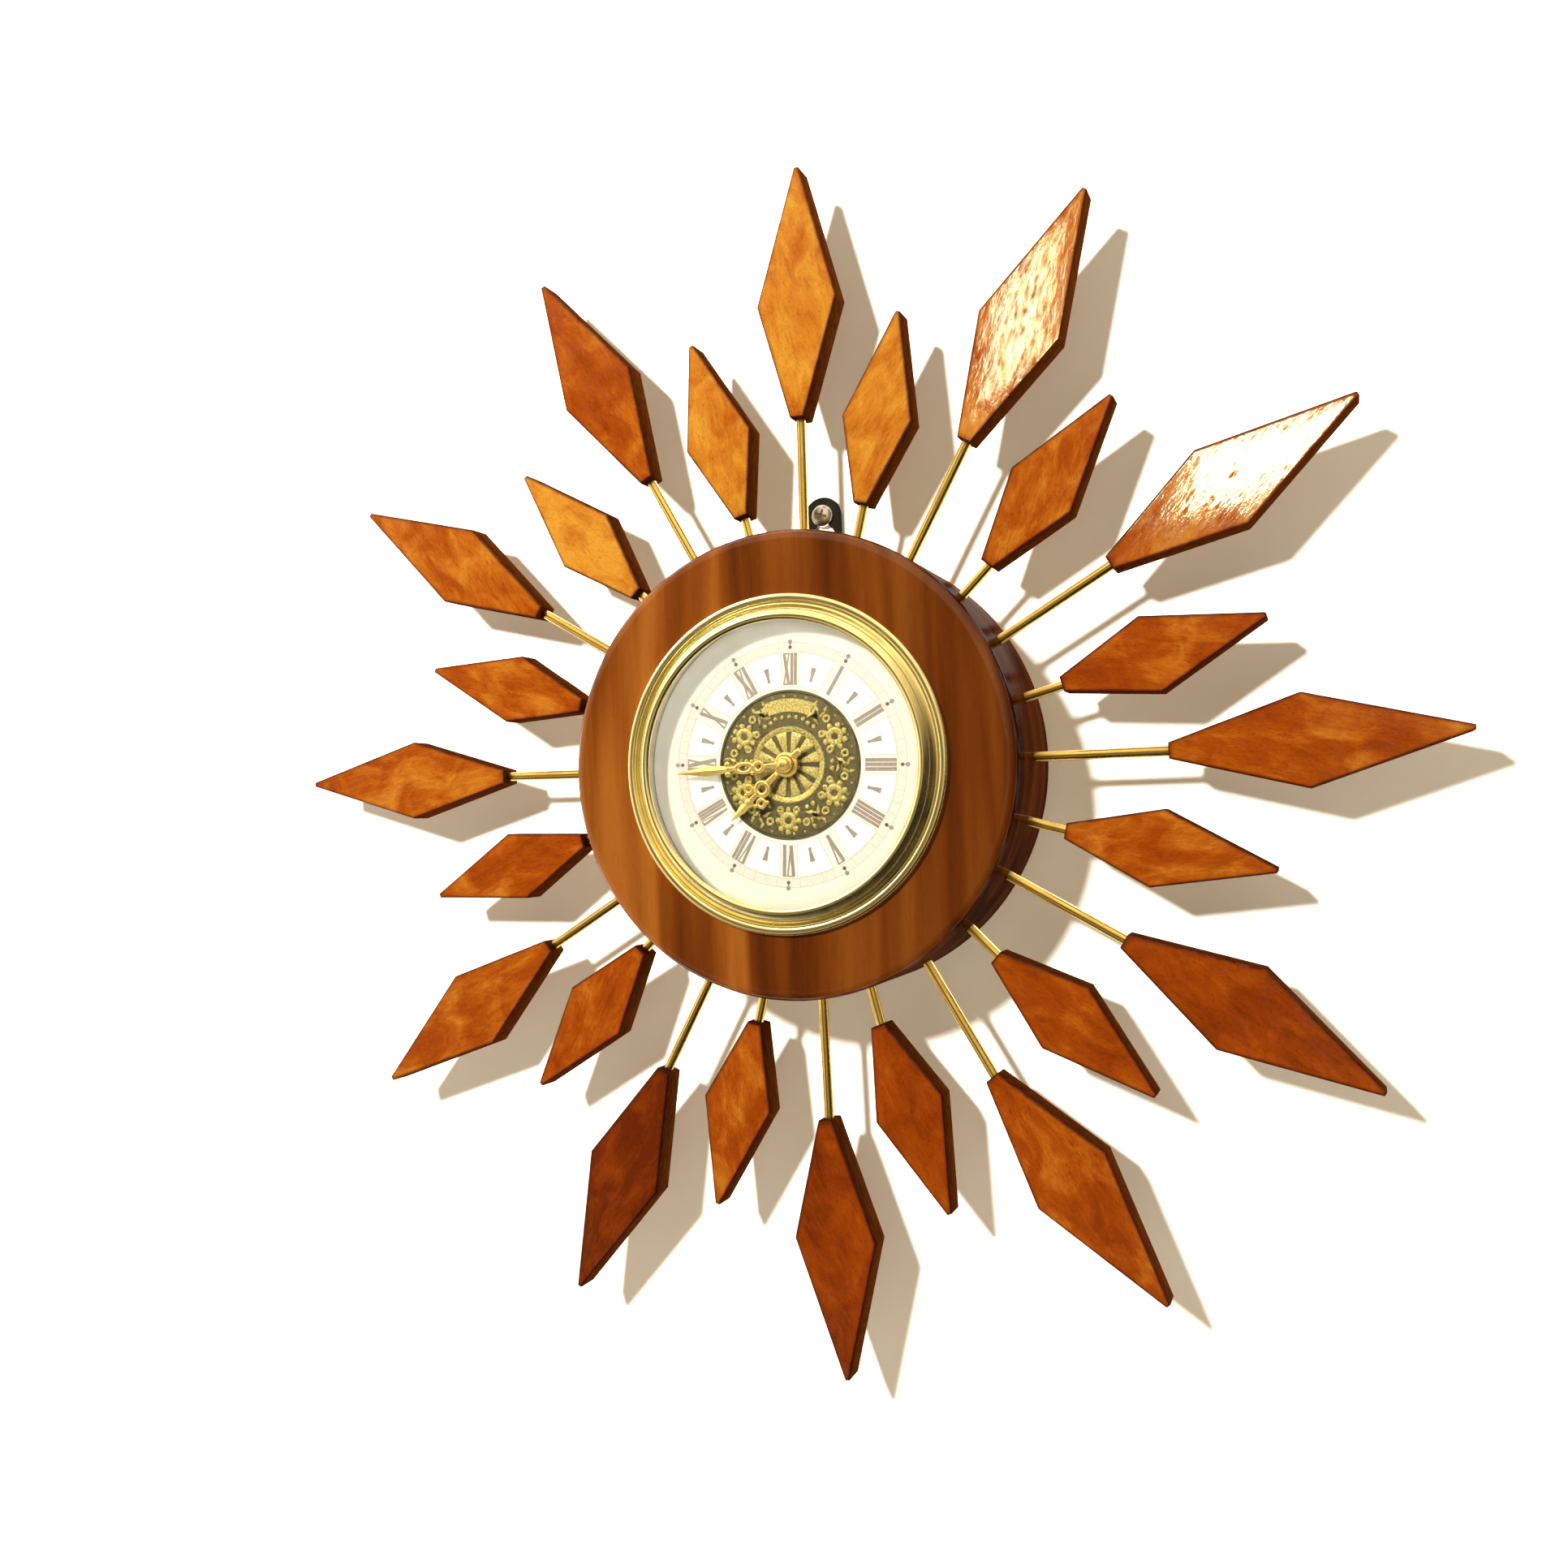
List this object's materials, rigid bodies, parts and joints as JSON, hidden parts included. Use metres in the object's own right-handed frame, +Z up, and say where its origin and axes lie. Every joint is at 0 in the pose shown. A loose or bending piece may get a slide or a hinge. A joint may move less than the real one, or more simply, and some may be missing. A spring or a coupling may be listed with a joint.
{
  "type": "sunburst wall clock",
  "caption": "Round wooden wall clock with brass-framed roman dial, pierced hands and a sunburst of alternating long and short wooden diamonds on brass rods.",
  "frame": {"origin": "centre of the drum's back, where the dial's axis meets the wall plane", "axes": "+Z up towards twelve o'clock, +Y along the dial's axis into the wall, +X to the viewer's right; the face looks towards -Y"},
  "size_m": [0.4064, 0.0538, 0.4063],
  "materials": {
    "drum_wood": "turned hardwood with a glossy red-brown varnish",
    "teak": "oiled orange-brown teak, satin",
    "polished_brass": "polished and lacquered",
    "black_steel": "black paint",
    "zinc_steel": "zinc plated",
    "clear_glass": "clear, polished",
    "pan_enamel": "cream enamel",
    "dial_card": "cream print on satin sheet",
    "bronze_medallion": "olive bronze with a raised pale-gold pattern",
    "hand_brass": "polished",
    "washer_rubber": "matte black",
    "black_plastic": "moulded black",
    "ivory_plastic": "moulded ivory acetal",
    "soft_iron": "bright sheet",
    "copper_winding": "enamelled copper wire",
    "board_laminate": "green laminate",
    "battery_jacket": "plain printed sleeve",
    "contact_steel": "nickel plated spring strip"
  },
  "bodies": {
    "root": {"drum_case": "drum_wood", "long_diamond_01": "teak", "long_diamond_02": "teak", "long_diamond_03": "teak", "long_diamond_04": "teak", "long_diamond_05": "teak", "long_diamond_06": "teak", "long_diamond_07": "teak", "long_diamond_08": "teak", "long_diamond_09": "teak", "long_diamond_10": "teak", "long_diamond_11": "teak", "long_diamond_12": "teak", "short_diamond_01": "teak", "short_diamond_02": "teak", "short_diamond_03": "teak", "short_diamond_04": "teak", "short_diamond_05": "teak", "short_diamond_06": "teak", "short_diamond_07": "teak", "short_diamond_08": "teak", "short_diamond_09": "teak", "short_diamond_10": "teak", "short_diamond_11": "teak", "short_diamond_12": "teak", "long_rods": "polished_brass", "short_rods": "polished_brass", "bezel": "polished_brass", "hanger_plate": "black_steel", "hanger_screws": "zinc_steel", "insert_clips": "zinc_steel", "insert_screws": "zinc_steel", "glass": "clear_glass", "dial_pan": "pan_enamel", "dial": "dial_card", "dial_centre": "bronze_medallion", "mounting_nut": "hand_brass", "rubber_washer": "washer_rubber", "movement_case": "black_plastic", "movement_cover": "black_plastic", "train_plate": "ivory_plastic", "coil_bobbin": "ivory_plastic", "stator": "soft_iron", "coil_core": "soft_iron", "crystal_can": "soft_iron", "coil_winding": "copper_winding", "circuit_board": "board_laminate", "battery_contacts": "contact_steel"},
    "minute_train": {"centre_wheel": "ivory_plastic", "minute_hand": "hand_brass", "hand_nut": "hand_brass"},
    "hour_train": {"hour_wheel": "ivory_plastic", "hour_hand": "hand_brass"},
    "motion_train": {"motion_wheel": "ivory_plastic"},
    "third_train": {"third_wheel": "ivory_plastic"},
    "seconds_train": {"seconds_wheel": "ivory_plastic"},
    "step_train": {"step_wheel": "ivory_plastic"},
    "motor_rotor": {"rotor": "ivory_plastic"},
    "setting": {"setting_knob": "ivory_plastic"},
    "cell": {"battery": "battery_jacket"}
  },
  "joints": [
    {"name": "minute_spin", "type": "hinge", "parent": "root", "child": "minute_train", "pos_m": [0, -0.035, 0], "axis": [0, 1, 0], "continuous": true},
    {"name": "hour_spin", "type": "hinge", "parent": "root", "child": "hour_train", "pos_m": [0, -0.04, 0], "axis": [0, 1, 0], "continuous": true},
    {"name": "motion_spin", "type": "hinge", "parent": "root", "child": "motion_train", "pos_m": [0.00789, -0.035, 0.00287], "axis": [0, 1, 0], "continuous": true},
    {"name": "third_spin", "type": "hinge", "parent": "root", "child": "third_train", "pos_m": [0.0078, -0.03, 0.00546], "axis": [0, 1, 0], "continuous": true},
    {"name": "seconds_spin", "type": "hinge", "parent": "root", "child": "seconds_train", "pos_m": [0.00624, -0.03, 0.01432], "axis": [0, 1, 0], "continuous": true},
    {"name": "step_spin", "type": "hinge", "parent": "root", "child": "step_train", "pos_m": [-0.00101, -0.028, 0.01626], "axis": [0, 1, 0], "continuous": true},
    {"name": "rotor_spin", "type": "hinge", "parent": "root", "child": "motor_rotor", "pos_m": [-0.0068, -0.028, 0.01416], "axis": [0, 1, 0], "continuous": true},
    {"name": "setting_spin", "type": "hinge", "parent": "root", "child": "setting", "pos_m": [0.0172, -0.026, 0.00123], "axis": [0, 1, 0], "continuous": true},
    {"name": "battery_slide", "type": "slide", "parent": "root", "child": "cell", "axis": [0, 1, 0], "range_m": [0, 0.03]}
  ],
  "couplings": [
    {"joint": "hour_spin", "follows": "minute_spin", "ratio": 0.083333},
    {"joint": "motion_spin", "follows": "minute_spin", "ratio": -0.33333},
    {"joint": "setting_spin", "follows": "minute_spin", "ratio": 0.66667},
    {"joint": "third_spin", "follows": "minute_spin", "ratio": -7.5},
    {"joint": "seconds_spin", "follows": "minute_spin", "ratio": 60},
    {"joint": "step_spin", "follows": "minute_spin", "ratio": -300},
    {"joint": "rotor_spin", "follows": "minute_spin", "ratio": 1800}
  ]
}
